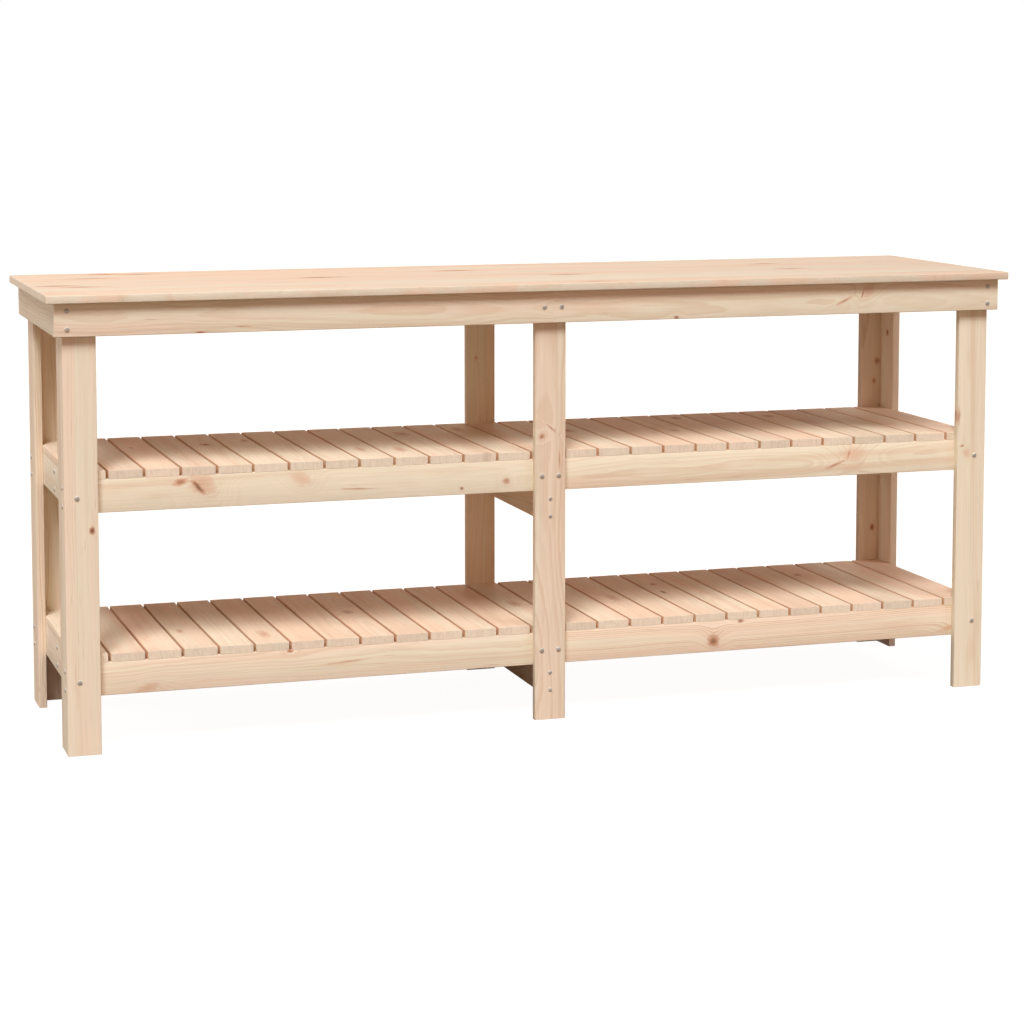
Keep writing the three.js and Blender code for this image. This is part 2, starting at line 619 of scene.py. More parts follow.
    def material(self) -> bpy.types.Material:
        """Builds the material.

        Returns:
            The finished pine material.
        """
        s = Shading(self.name)
        lightness, warmth, seed = s.split(s.attribute("tone"))
        place = s.vector("ADD", s.attribute("grain"), s.join(s.math("MULTIPLY", seed, 7.3), seed, 0.0))
        knots = self._knots(s, s.grain(place, Grain.FRAY))
        late = self._late_wood(s, place, seed, knots["push"])
        smoke = s.grain(place, Grain.SMOKE)
        wood = self._clear_wood(s, place, late, warmth, smoke)
        wood = self._with_knots(s, wood, knots, smoke)

        cut = s.attribute("end_cut", "Fac")
        fibre = s.grain(place, Grain.FIBRE)
        pores = s.grain(place, Grain.PORES)
        stripes = s.step(s.grain(place, Grain.STRIPES), 0.40, 0.70, 0.0, 0.09)
        wood = s.mix(s.math("MULTIPLY", cut, self.sawn_share), wood, self.sawn)
        shade = s.math("ADD", s.spread(fibre, self.fibre_contrast), 1.0)
        shade = s.math("MULTIPLY", shade, s.math("ADD", 0.985, s.math("MULTIPLY", lightness, self.tone_step)))
        pitted = s.math("ADD", s.math("MULTIPLY", pores, 0.03), stripes)
        shade = s.math("MULTIPLY", shade, s.math("SUBTRACT", 1.0, s.math("MULTIPLY", cut, pitted)))
        wood = s.scale(wood, shade)
        # Painted shade: the long sides that face a neighbour across a narrow gap are darkened as the gap's
        # shade would be.
        wood = s.mix(s.attribute("painted_gap_shade", "Fac"), wood, self.shadowed, "MULTIPLY")

        s.feed(s.shader.inputs["Base Color"], wood)
        rough = s.math("ADD", self.roughness, s.math("MULTIPLY", s.math("SUBTRACT", fibre, late), 0.10))
        s.feed(s.shader.inputs["Roughness"], s.math("ADD", rough, s.math("MULTIPLY", cut, 0.15)))
        s.shader.inputs["Specular IOR Level"].default_value = 0.30
        relief = s.math("ADD", s.math("MULTIPLY", fibre, 0.6), s.math("MULTIPLY", late, 0.4))
        s.bump(s.math("ADD", relief, s.math("MULTIPLY", s.math("MULTIPLY", cut, pores), 1.2)), 0.00025, 0.45)
        return s.material


@dataclass(frozen=True)
class ZincFinish:
    """Zinc plate on a screw head, slightly brushed by the driver.

    Attributes:
        name: The material's name.
        colour: The plate's colour.
        dark_share: How pale its darker specks are, as a share of its colour.
        roughness: The least roughness.
        brushing: How much rougher the brushed specks are.
        metallic: How much like bare metal it reflects.
        specks: How many specks there are to a metre, each way.
    """

    name: str = "bright_zinc"
    colour: Colour = (0.66, 0.65, 0.61)
    dark_share: float = 0.78
    roughness: float = 0.52
    brushing: float = 0.14
    metallic: float = 0.35
    specks: tuple[float, float, float] = (900.0, 900.0, 900.0)

    def material(self) -> bpy.types.Material:
        """Builds the material from its Object coordinates.

        Returns:
            The finished zinc material.
        """
        s = Shading(self.name)
        place = s.tree.nodes.new("ShaderNodeTexCoord").outputs["Object"]
        speck = s.noise(place, self.specks, 3.0, 0.5)
        dark = tuple(self.dark_share * part for part in self.colour)
        s.feed(s.shader.inputs["Base Color"], s.mix(speck, self.colour, dark))
        s.shader.inputs["Metallic"].default_value = self.metallic
        rough = s.step(speck, 0.3, 0.8, self.roughness, self.roughness + self.brushing)
        s.feed(s.shader.inputs["Roughness"], rough)
        s.bump(speck, 0.00005, 0.3)
        return s.material


@dataclass(frozen=True)
class FloorFinish:
    """A plain, pale studio floor that glows for the camera, as a lit sweep does.

    Attributes:
        name: The material's name.
        bounce: The colour that it throws back onto the bench.
        glow: How bright it looks to the camera.
    """

    name: str = "studio_floor"
    bounce: Colour = (0.22, 0.17, 0.13)
    glow: float = 0.96

    def material(self) -> bpy.types.Material:
        """Builds the material.

        Returns:
            The finished floor material.
        """
        s = Shading(self.name)
        s.shader.inputs["Base Color"].default_value = (*self.bounce, 1.0)
        s.shader.inputs["Roughness"].default_value = 1.0
        s.shader.inputs["Specular IOR Level"].default_value = 0.0
        s.shader.inputs["Emission Color"].default_value = WHITE
        path = s.tree.nodes.new("ShaderNodeLightPath")
        glow = s.math("MULTIPLY", path.outputs["Is Camera Ray"], self.glow)
        s.feed(s.shader.inputs["Emission Strength"], glow)
        return s.material


class Slot(Enum):
    """The record's material slots."""

    TOP = "pine_top"
    APRON = "pine_apron"
    LEG = "pine_leg"
    RAIL = "pine_rail"
    SLAT = "pine_slat"
    SCREW = "screw_zinc"


class Finishes:
    """The finishes of the whole bench, built once."""

    def __init__(self) -> None:
        """Builds every material."""
        self.top = PineFinish(
            "pine_panel", early=(0.945, 0.82, 0.65), pink=(0.925, 0.735, 0.565),
            green=(0.88, 0.84, 0.69), ring_contrast=0.5, hue_contrast=0.85).material()
        self.board = PineFinish("pine_board").material()
        self.slat = PineFinish(
            "pine_slat", early=(0.945, 0.79, 0.615), pink=(0.92, 0.70, 0.53),
            green=(0.90, 0.80, 0.63), ring_contrast=0.55, hue_contrast=0.78).material()
        self.zinc = ZincFinish().material()


# ---- Boards -------------------------------------------------------------------------------------


@dataclass(frozen=True)
class Knot:
    """A knot that runs through a board.

    Attributes:
        along: Metres from the board's low end.
        across: Metres from its low long edge.
        radius: Half its width across the grain, in metres.
        darkness: From 0, pale and pinkish, to 1, a dark loose knot.
        stretch: How many times longer it is than wide.
        slant: How far its long way leans from the grain, in degrees.
    """

    along: float
    across: float
    radius: float
    darkness: float = 0.5
    stretch: float = 1.35
    slant: float = 0.0

    def coordinates(self, run: np.ndarray, width: np.ndarray) -> np.ndarray:
        """Reads the board's corners in this knot's own measure.

        Args:
            run: Each corner's distance from the board's low end.
            width: Its distance from the low long edge.

        Returns:
            For each corner the two ways from the knot, where 1 is its outline, its radius and its darkness.
        """
        turn = math.radians(self.slant)
        away, up = run - self.along, width - self.across
        return np.stack([
            (away * math.cos(turn) + up * math.sin(turn)) / (self.stretch * self.radius),
            (up * math.cos(turn) - away * math.sin(turn)) / self.radius,
            np.full(len(run), self.radius),
            np.full(len(run), self.darkness),
        ], axis=1)


@dataclass(frozen=True)
class Cut:
    """Where in its log a board was sawn.

    Attributes:
        side: Metres from the pith to the board's middle, across its wide face.
        depth: Metres from the pith to the board's middle, through its thickness.
        lean: How fast the pith drifts away along the board, as a slope through the thickness.
        skew: The same, across the wide face.
        start: Where along the log it begins, in metres.
        lightness: From -1, dark, to 1, pale.
        warmth: From -1, greenish, to 1, pink.
        figure: How strongly its rings show.
        seed: A number of its own for the noise.
        shortness: How many times shorter than usual its patches of colour are.
        drift: How much lightness it loses with each metre along it, as painted shade for light that falls
            off.
    """

    side: float
    depth: float
    lean: float
    skew: float
    start: float
    lightness: float
    warmth: float
    figure: float
    seed: float
    shortness: float = 1.0
    drift: float = 0.0

    @classmethod
    def drawn(cls, draw: random.Random) -> "Cut":
        """Draws a board at random from a stack.

        Args:
            draw: The source of the random numbers.

        Returns:
            Where that board was sawn.
        """
        return cls(
            side=draw.choice((-1, 1)) * draw.uniform(0.0, 0.055),
            depth=draw.choice((-1, 1)) * draw.uniform(0.028, 0.09),
            lean=draw.uniform(-0.022, 0.022),
            skew=draw.uniform(-0.02, 0.02),
            start=draw.uniform(0.0, 40.0),
            lightness=draw.uniform(-1.0, 1.0),
            warmth=draw.uniform(-1.0, 1.0),
            figure=draw.uniform(0.35, 1.0),
            seed=draw.uniform(0.0, 50.0),
        )


@dataclass(frozen=True)
class Look:
    """What sets one board apart: its knots, and whatever isn't left to chance in its cut.

    Attributes:
        knots: Its knots.
        cut: Fixed values for the cut, by the cut's own names.
    """

    knots: tuple[Knot, ...] = ()
    cut: dict[str, float] = field(default_factory=dict)


class GrainMarks:
    """Writes a board's grain onto its mesh, face corner by face corner."""

    def __init__(self, piece: Piece) -> None:
        """Reads the corners' places once.

        Args:
            piece: The board.
        """
        self.mesh = piece.data
        places = read(self.mesh.vertices, "co", 3, np.float64)
        self.places = places[read(self.mesh.loops, "vertex_index", kind=np.int64)[:, 0]]

    def _write(self, name: str, values: np.ndarray, inside: np.ndarray | None) -> None:
        """Stores numbers, vectors or vectors with a fourth number.

        Args:
            name: The attribute's name.
            values: One row for each corner.
            inside: Which corners to write, or None for all of them.
        """
        parts = values.shape[1]
        kind, key = {
            1: ("FLOAT", "value"), 3: ("FLOAT_VECTOR", "vector"), 4: ("FLOAT_COLOR", "color")}[parts]
        mark = self.mesh.attributes.get(name)
        if mark is not None and inside is not None:
            values = np.where(inside[:, None], values, read(mark.data, key, parts))
        mark = mark or self.mesh.attributes.new(name, kind, "CORNER")
        mark.data.foreach_set(key, np.ascontiguousarray(values, np.float32).ravel())

    def mark(self, low: Vector, high: Vector, along: Axis, face: Axis, cut: Cut, knots: tuple[Knot, ...],
             inside: np.ndarray | None = None) -> None:
        """Marks the whole mesh, or the corners that belong to one stave of it.

        Args:
            low: The board's lowest corner.
            high: Its highest corner.
            along: The way that its grain runs.
            face: The way that its wide face looks.
            cut: Where in its log it lay.
            knots: Its knots.
            inside: Which corners to mark, or None for all of them.
        """
        across = next(axis for axis in Axis if axis not in (along, face))
        run = self.places[:, along.value] - low[along.value]
        width = self.places[:, across.value] - low[across.value]
        from_middle = self.places[:, across.value] - (low[across.value] + high[across.value]) / 2
        from_centre = self.places[:, face.value] - (low[face.value] + high[face.value]) / 2
        level = np.ones(len(run))
        grain = (
            run * cut.shortness + cut.start,
            from_middle + cut.side + cut.skew * run,
            from_centre + cut.depth + cut.lean * run,
        )
        # The drift darkens a board along its run: painted shade for light that falls off.
        tone = (cut.lightness - cut.drift * run, cut.warmth * level, cut.seed * level)
        self._write("grain", np.stack(grain, axis=1), inside)
        self._write("tone", np.stack(tone, axis=1), inside)
        self._write("figure", cut.figure * level[:, None], inside)
        nothing = np.tile((FAR_AWAY, FAR_AWAY, 0.0, 0.0), (len(run), 1))
        for index in range(MOST_KNOTS):
            values = knots[index].coordinates(run, width) if index < len(knots) else nothing
            self._write(f"knot_{index + 1}", values, inside)

    def mark_faces(self, name: str, axis: Axis, ways: tuple[float, ...] = (-1.0, 1.0)) -> None:
        """Marks the faces that look along an axis with a 1 in a named attribute.

        Args:
            name: The attribute's name.
            axis: The axis.
            ways: Which way along it they look: -1 down the axis, 1 up it, or both.
        """
        looks = read(self.mesh.polygons, "normal", 3)[:, axis.value]
        facing = np.any([looks * way > MOSTLY_FACING for way in ways], axis=0)
        mark = self.mesh.attributes.new(name, "FLOAT", "FACE")
        mark.data.foreach_set("value", facing.astype(np.float32))


@dataclass
class Board:
    """One planed board: a block with eased long edges and crisp sawn ends.

    Attributes:
        name: Its name.
        low: Its lowest corner.
        high: Its highest corner.
        along: The way that its grain runs.
        face: The way that its wide face looks.
        arris: The radius that its long edges are eased to.
        nick: The narrow bevel round its sawn ends.
        steps: How many faces there are round an eased edge.
        crease: The sharpest bend that is shaded smooth, in degrees.
    """

    name: str
    low: Vector
    high: Vector
    along: Axis
    face: Axis
    arris: float = 0.0013
    nick: float = 0.0004
    steps: int = 3
    crease: float = 32.0

    def _runs_along(self, one: Vector, other: Vector) -> bool:
        """Whether an edge goes from one sawn end to the other."""
        length = self.high[self.along.value] - self.low[self.along.value]
        return abs(abs((other - one)[self.along.value]) - length) < SAME_PLACE

    def _on_an_end(self, one: Vector, other: Vector) -> bool:
        """Whether an edge lies in one of the sawn ends.

        Args:
            one: The edge's first end.
            other: Its second end.

        Returns:
            True if both lie in the same sawn end.
        """
        way = self.along.value
        ends = (self.low[way], self.high[way])
        return any(abs(one[way] - end) + abs(other[way] - end) < SAME_PLACE for end in ends)

    def modelled(self) -> Piece:
        """Models the board in its place.

        Returns:
            The board's object, at the origin, with its place in its mesh.
        """
        deselect_all()
        bpy.ops.mesh.primitive_cube_add(size=1.0, location=(self.low + self.high) / 2)
        piece = bpy.context.object
        piece.scale = self.high - self.low
        settle(piece, self.name)
        with edit_mode(piece):
            select_edges(piece, self._runs_along)
            bpy.ops.mesh.bevel(
                offset=self.arris, offset_type="OFFSET", segments=self.steps, profile=0.5, affect="EDGES")
            select_edges(piece, self._on_an_end)
            bpy.ops.mesh.bevel(offset=self.nick, offset_type="OFFSET", segments=1, affect="EDGES")
        smooth_up_to(piece, self.crease)
        return piece


def finish_piece(piece: Piece, material: bpy.types.Material, slot: Slot, *nodes: str) -> None:
    """Dresses a piece, puts it on the bench's body and hides the CAD nodes that it stands for.

    Args:
        piece: The finished piece.
        material: Its material.
        slot: The record's material slot for the piece's finish; not used.
        nodes: The CAD nodes that it stands for.
    """
    piece.data.materials.clear()
    piece.data.materials.append(material)
    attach(piece, BODY)
    if nodes:
        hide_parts(*nodes)


@dataclass
class BoardShop:
    """Cuts boards for the nodes of the frame, each from its own place in its own log.

    Attributes:
        finishes: The finishes that the boards are dressed in.
        draw: Where the cuts of the boards are drawn from, in the order that they are made.
    """

    finishes: Finishes
    draw: random.Random = field(default_factory=lambda: random.Random(20261))

    def cut(self, node: str, along: Axis, face: Axis, slot: Slot, look: Look = Look()) -> Piece:
        """Makes the board that stands for one node.

        Args:
            node: The CAD node.
            along: The way that its grain runs.
            face: The way that its wide face looks.
            slot: The record's material slot.
            look: Its knots, and what isn't left to chance in its cut.

        Returns:
            The board.
        """
        low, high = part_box(node)
        sawn = replace(Cut.drawn(self.draw), **look.cut)
        piece = Board(f"{node}_board", low, high, along, face).modelled()
        marks = GrainMarks(piece)
        marks.mark(low, high, along, face, sawn, look.knots)
        marks.mark_faces("end_cut", along)
        finish_piece(piece, self.finishes.board, slot, node)
        return piece


# ---- Sub-assemblies -----------------------------------------------------------------------------


@dataclass
class Tabletop:
    """The work surface: one panel glued up from long staves.

    Attributes:
        shop: Where it is made.
        node: The node that it stands for.
        staves: How many staves it is glued up from.
        drift: How much lightness it loses with each metre to the right: painted shade for the light falling
            off towards the right end.
        arris: The radius that its long edges are eased to.
        nick: The narrow bevel round its sawn ends.
        mean_lightness: The middle of its staves' lightness.
        sameness: What a stave's drawn lightness, warmth and figure are multiplied by.
        lipping: How the cut of its long edges differs, by the cut's own names.
        knots: The knots of each stave, by its number from the front.
    """

    shop: BoardShop
    node: str = "tabletop"
    staves: int = 8
    drift: float = 1.4
    arris: float = 0.0014
    nick: float = 0.0012
    mean_lightness: float = -0.1
    sameness: tuple[float, float, float] = (0.5, 0.6, 0.7)
    lipping: dict[str, float] = field(default_factory=lambda: {
        "shortness": 9.0, "figure": 0.3, "warmth": -0.2})
    knots: dict[int, tuple[Knot, ...]] = field(default_factory=lambda: {
        0: (Knot(0.991, 0.029, 0.009, 0.25, 3.6),),
        2: (Knot(0.086, 0.050, 0.010, 0.35, 3.8),),
        3: (
            Knot(0.996, 0.012, 0.012, 0.40, 3.0),
            Knot(1.456, 0.025, 0.010, 0.35, 3.2),
            Knot(0.046, 0.022, 0.010, 0.40, 3.6),
        ),
        4: (Knot(0.538, 0.018, 0.012, 0.50, 3.6),),
        5: (
            Knot(1.457, 0.038, 0.010, 0.35, 3.0),
            Knot(0.822, 0.045, 0.012, 0.42, 3.4),
            Knot(0.131, 0.058, 0.012, 0.40, 4.2),
        ),
        7: (Knot(0.229, 0.004, 0.010, 0.45, 3.4), Knot(0.166, 0.024, 0.010, 0.45, 3.4)),
    })

    def build(self) -> list[Piece]:
        """Models the panel, splits it into staves and gives each stave its own grain.

        Returns:
            The panel.
        """
        low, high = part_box(self.node)
        board = Board(f"{self.node}_panel", low, high, Axis.X, Axis.Z, arris=self.arris, nick=self.nick)
        piece = board.modelled()
        width = (high.y - low.y) / self.staves
        with edit_mode(piece):
            for index in range(1, self.staves):
                bpy.ops.mesh.select_all(action="SELECT")
                bpy.ops.mesh.bisect(plane_co=(0.0, low.y + index * width, 0.0), plane_no=(0.0, 1.0, 0.0))
        faces = piece.data.polygons
        corners = read(faces, "loop_total", kind=np.int64)[:, 0]
        middles = read(faces, "center", 3)[:, Axis.Y.value]
        owners = np.clip(((middles - low.y) / width).astype(int), 0, self.staves - 1)
        long_edges = np.abs(read(faces, "normal", 3)[:, Axis.Y.value]) > MOSTLY_FACING
        owner_of_corner = np.repeat(owners, corners)
        on_long_edge = np.repeat(long_edges, corners)
        marks = GrainMarks(piece)
        for index in range(self.staves):
            near = Vector((low.x, low.y + index * width, low.z))
            far = Vector((high.x, near.y + width, high.z))
            sawn = self._stave(Cut.drawn(self.shop.draw))
            inside = owner_of_corner == index
            marks.mark(near, far, Axis.X, Axis.Z, sawn, self.knots.get(index, ()), inside)
            edge = replace(sawn, **self.lipping)
            marks.mark(near, far, Axis.X, Axis.Z, edge, (), inside & on_long_edge)
        marks.mark_faces("end_cut", Axis.X)
        finish_piece(piece, self.shop.finishes.top, Slot.TOP, self.node)
        return [piece]

    def _stave(self, sawn: Cut) -> Cut:
        """Makes a drawn cut calmer, as staves are matched before they are glued.

        Args:
            sawn: The cut that was drawn.

        Returns:
            The calmer cut.
        """
        light, warm, figured = self.sameness
        # The drift paints shade that darkens the panel towards its right end.
        return replace(
            sawn, lightness=light * sawn.lightness + self.mean_lightness, warmth=warm * sawn.warmth,
            figure=figured * sawn.figure, drift=self.drift)


@dataclass
class Apron:
    """The band of boards under the top.

    Attributes:
        shop: Where its boards are cut.
        looks: What sets its boards apart, by the node.
    """

    shop: BoardShop
    looks: dict[str, Look] = field(default_factory=lambda: {
        "apron_front_left": Look(
            (Knot(0.250, 0.002, 0.002, 0.6, 5.0), Knot(0.323, 0.010, 0.0012, 0.3, 12.0)),
            {"lightness": 0.8, "warmth": -0.1, "figure": 0.8, "depth": 0.05}),
        "apron_front_right": Look(
            (
                Knot(0.620, 0.040, 0.009, 0.06, 1.5, 30.0),
                Knot(0.609, 0.036, 0.0018, 0.45, 5.0, 75.0),
                Knot(0.572, 0.025, 0.0024, 0.35, 7.0, 25.0),
                Knot(0.237, 0.003, 0.003, 0.75, 1.6),
            ),
            {"lightness": 0.9, "warmth": -0.3, "figure": 0.6}),
        "apron_back_left": Look((Knot(0.55, 0.030, 0.008, 0.4),)),
    })

    def build(self) -> list[Piece]:
        """Cuts the apron boards.

        Returns:
            The four long boards and the two side boards.
        """
        long_boards = ("apron_front_left", "apron_front_right", "apron_back_left", "apron_back_right")
        side_boards = ("apron_side_left", "apron_side_right")
        return [
            *(self._cut(node, Axis.X, Axis.Y) for node in long_boards),
            *(self._cut(node, Axis.Y, Axis.X) for node in side_boards),
        ]

    def _cut(self, node: str, along: Axis, face: Axis) -> Piece:
        """Cuts one apron board."""
        return self.shop.cut(node, along, face, Slot.APRON, self.looks.get(node, Look()))


@dataclass
class Legs:
    """Four corner legs of two boards each, and two centre legs of one board.

    Attributes:
        shop: Where their boards are cut.
        looks: What sets their boards apart, by the node.
    """

    shop: BoardShop
    looks: dict[str, Look] = field(default_factory=lambda: {
        "leg_front_left_face": Look(
            (Knot(0.392, 0.047, 0.0050, 0.75, 1.3),),
            {"lightness": 0.7, "warmth": -0.1, "figure": 0.45, "side": 0.03, "depth": 0.02}),
        "leg_front_left_side": Look((), {"lightness": 0.2, "warmth": -0.5, "figure": 0.4}),
        "leg_front_centre": Look(
            (
                Knot(0.521, 0.013, 0.0048, 0.5, 1.3, 40.0),
                Knot(0.536, 0.030, 0.0016, 0.4, 8.0, -50.0),
                Knot(0.480, 0.046, 0.0016, 0.3, 10.0),
            ),
            {"lightness": 0.0, "warmth": 0.3, "figure": 0.8}),
        "leg_front_right_face": Look(
            (
                Knot(0.453, 0.020, 0.007, 0.0, 1.3),
                Knot(0.525, 0.002, 0.0025, 0.5, 6.0),
                Knot(0.468, 0.010, 0.0022, 0.4, 2.0, 80.0),
            ),
            {"lightness": 1.0, "warmth": -1.0, "figure": 0.35}),
        "leg_back_right_face": Look(
            (Knot(0.24, 0.030, 0.005, 0.6), Knot(0.587, 0.036, 0.006, 0.5), Knot(0.545, 0.03, 0.004, 0.4))),
        "leg_back_right_side": Look((Knot(0.648, 0.026, 0.005, 0.6),)),
        "leg_back_left_side": Look(
            (Knot(0.034, 0.004, 0.003, 0.6),), {"lightness": 0.5, "warmth": -0.2}),
        "leg_back_left_face": Look((), {"lightness": 0.2, "warmth": 0.5}),
        "leg_back_centre": Look((Knot(0.62, 0.02, 0.003, 0.2),), {"lightness": 0.2, "warmth": 0.0}),
    })

    def build(self) -> list[Piece]:
        """Cuts the leg boards.

        Returns:
            The ten boards.
        """
        pieces = []
        for across, _ in FRONT_AND_BACK:
            for along, _ in LEFT_AND_RIGHT:
                pieces.append(self._cut(f"leg_{across}_{along}_face", Axis.Y))
                pieces.append(self._cut(f"leg_{across}_{along}_side", Axis.X))
            pieces.append(self._cut(f"leg_{across}_centre", Axis.Y))
        return pieces

    def _cut(self, node: str, face: Axis) -> Piece:
        """Cuts one leg board, with its grain upright."""
        return self.shop.cut(node, Axis.Z, face, Slot.LEG, self.looks.get(node, Look()))


@dataclass
class Shelf:
    """A frame of rails with slats laid across it.

    Attributes:
        shop: Where its boards are cut.
        name: "upper" or "lower".
        looks: What sets its rails apart, by the end of the node's name.
        slat_knots: The knots of its slats, by the slat's number from the left.
        panels: How many nodes its slats are in.
        slats_per_panel: How many slats a node holds.
        slat_arris: The radius that a slat's long edges are eased to.
        slat_nick: The narrow bevel round its sawn ends.
        first_slat: What isn't left to chance in the cut of the slat at the left end.
    """

    shop: BoardShop
    name: str
    looks: dict[str, Look]
    slat_knots: dict[int, tuple[Knot, ...]]
    panels: int = 9
    slats_per_panel: int = 3
    slat_arris: float = 0.0005
    slat_nick: float = 0.0003
    first_slat: dict[str, float] = field(default_factory=lambda: {"lightness": 1.2, "warmth": -1.0})

    @classmethod
    def upper(cls, shop: BoardShop) -> "Shelf":
        """The upper shelf.

        Args:
            shop: Where its boards are cut.

        Returns:
            The shelf, ready to build.
        """
        looks = {
            "rail_front_left": Look(
                (
                    Knot(0.214, 0.041, 0.017, 0.17, 1.4, -30.0),
                    Knot(0.206, 0.036, 0.0046, 0.78, 3.8, -48.0),
                    Knot(0.174, 0.047, 0.006, 0.42, 2.0, 10.0),
                    Knot(0.388, 0.044, 0.010, 0.10, 1.8, -25.0),
                    Knot(0.490, 0.020, 0.0014, 0.35, 20.0, -2.0),
                    Knot(0.684, 0.011, 0.0028, 1.0, 1.1),
                    Knot(0.768, 0.021, 0.0052, 0.45, 1.2),
                ),
                {"lightness": 1.0, "warmth": -1.0, "figure": 0.25, "side": 0.02, "depth": 0.07}),
            "rail_front_right": Look(
                (
                    Knot(0.606, 0.040, 0.015, 0.0, 1.5),
                    Knot(0.570, 0.021, 0.0026, 0.35, 8.0, 20.0),
                    Knot(0.598, 0.040, 0.0022, 0.35, 5.0, 75.0),
                ),
                {"lightness": 1.8, "warmth": -0.9, "figure": 0.72, "side": 0.012, "depth": 0.034}),
            "rail_side_left": Look((), {"lightness": 0.6, "warmth": -0.8, "figure": 0.4}),
            "rail_back_left": Look((Knot(0.5, 0.02, 0.009, 0.5),)),
        }
        slat_knots = {
            1: (Knot(0.03, 0.030, 0.008, 0.35, 2.0),),
            3: (Knot(0.27, 0.020, 0.004, 0.5, 1.6),),
            5: (Knot(0.27, 0.030, 0.009, 0.5, 1.6),),
            6: (Knot(0.30, 0.045, 0.006, 0.3, 3.0),),
            9: (Knot(0.12, 0.030, 0.007, 0.25, 4.0),),
            10: (Knot(0.10, 0.035, 0.010, 0.25, 3.0),),
            11: (Knot(0.30, 0.030, 0.014, 0.30, 2.2),),
            12: (Knot(0.0, 0.041, 0.007, 0.5, 1.5),),
            13: (Knot(0.33, 0.020, 0.010, 0.30, 2.5),),
            16: (Knot(0.25, 0.025, 0.010, 0.30, 2.5),),
            19: (Knot(0.19, 0.030, 0.008, 0.3, 2.5),),
            20: (Knot(0.36, 0.035, 0.010, 0.5, 1.8),),
            23: (Knot(0.33, 0.030, 0.009, 0.5, 1.6),),
        }
        return cls(shop, "upper", looks, slat_knots)

    @classmethod
    def lower(cls, shop: BoardShop) -> "Shelf":
        """The lower shelf.

        Args:
            shop: Where its boards are cut.

        Returns:
            The shelf, ready to build.
        """
        looks = {
            "rail_front_left": Look(
                (
                    Knot(0.366, 0.056, 0.0028, 0.6, 2.4),
                    Knot(0.113, 0.008, 0.0070, 0.12, 2.5, 15.0),
                    Knot(0.470, 0.030, 0.0016, 0.25, 24.0, 3.0),
                ),
                {"lightness": 0.9, "warmth": -0.2, "figure": 0.7}),
            "rail_front_right": Look(
                (
                    Knot(0.326, 0.021, 0.0115, 0.66, 1.0, 20.0),
                    Knot(0.380, 0.055, 0.0040, 0.90, 1.5),
                    Knot(0.830, 0.018, 0.0050, 0.20, 7.0, 14.0),
                ),
                {
                    "lightness": 1.7, "warmth": 0.3, "figure": 1.35, "side": 0.044, "depth": 0.024,
                    "lean": 0.002, "skew": 0.004,
                }),
            "rail_side_left": Look((), {"lightness": 0.4, "warmth": -0.2}),
            "rail_back_right": Look((Knot(0.3, 0.03, 0.008, 0.5),)),
        }
        slat_knots = {
            4: (Knot(0.15, 0.02, 0.006, 0.3, 2.5),),
            6: (Knot(0.08, 0.03, 0.010, 0.25, 3.0),),
            9: (Knot(0.22, 0.03, 0.009, 0.45, 2.0),),
            14: (Knot(0.20, 0.03, 0.011, 0.30, 2.6),),
            17: (Knot(0.20, 0.035, 0.010, 0.25, 3.5),),
            19: (Knot(0.30, 0.030, 0.006, 0.6, 1.6), Knot(0.22, 0.020, 0.004, 0.7, 4.0)),
            24: (Knot(0.30, 0.02, 0.007, 0.5, 1.5),),
        }
        return cls(shop, "lower", looks, slat_knots)

    def build(self) -> list[Piece]:
        """Cuts the rails, the cross piece and the slats.

        Returns:
            All the shelf's pieces.
        """
        long_rails = ("front_left", "front_right", "back_left", "back_right", "middle_left", "middle_right")
        return [
            *(self._rail(f"rail_{part}", Axis.X, Axis.Y) for part in long_rails),
            *(self._rail(f"rail_side_{along}", Axis.Y, Axis.X) for along, _ in LEFT_AND_RIGHT),
            self._rail("cross_piece", Axis.Y, Axis.X),
            *self._slats(),
        ]

    def _rail(self, part: str, along: Axis, face: Axis) -> Piece:
        """Cuts one board of the frame."""
        return self.shop.cut(f"{self.name}_{part}", along, face, Slot.RAIL, self.looks.get(part, Look()))

    def _slats(self) -> list[Piece]:
        """Models one slat and lays a copy of it in every place.

        Returns:
            The slats, from the left.
        """
        nodes = [f"{self.name}_slats_{index + 1}" for index in range(self.panels)]
        boxes = [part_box(node) for node in nodes]
        low, first_high = boxes[0]
        gap = boxes[1][0].x - first_high.x
        width = (first_high.x - low.x - (self.slats_per_panel - 1) * gap) / self.slats_per_panel
        high = Vector((low.x + width, first_high.y, first_high.z))
        board = Board(
            "slat_pattern", low, high, Axis.Y, Axis.Z, arris=self.slat_arris, nick=self.slat_nick)
        pattern = board.modelled()
        slats = []
        for node, (panel_low, _) in zip(nodes, boxes):
            for place in range(self.slats_per_panel):
                shift = Vector((panel_low.x + place * (width + gap) - low.x, 0.0, 0.0))
                number = len(slats) + 1
                slat = copy_of(pattern, f"{self.name}_slat_{number:02d}", Matrix.Translation(shift))
                self._mark_slat(slat, number, low + shift, high + shift)
                finish_piece(slat, self.shop.finishes.slat, Slot.SLAT, node)
                slats.append(slat)
        remove(pattern)
        return slats

    def _mark_slat(self, slat: Piece, number: int, low: Vector, high: Vector) -> None:
        """Gives one slat its grain, its knots, its sawn ends and painted shade on the long sides that face
        the gaps.

        Args:
            slat: The slat.
            number: Its number from the left.
            low: Its lowest corner.
            high: Its highest corner.
        """
        marks = GrainMarks(slat)
        sawn = Cut.drawn(self.shop.draw)
        ways = (-1.0, 1.0)
        if number == 1:
            sawn = replace(sawn, **self.first_slat)
            ways = (1.0,)
        elif number == self.panels * self.slats_per_panel:
            ways = (-1.0,)
        marks.mark(low, high, Axis.Y, Axis.Z, sawn, self.slat_knots.get(number, ()))
        marks.mark_faces("end_cut", Axis.Y)
        # The long sides that face another slat get painted gap shade; the outer sides of the end slats stay
        # unshaded.
        marks.mark_faces("painted_gap_shade", Axis.X, ways)


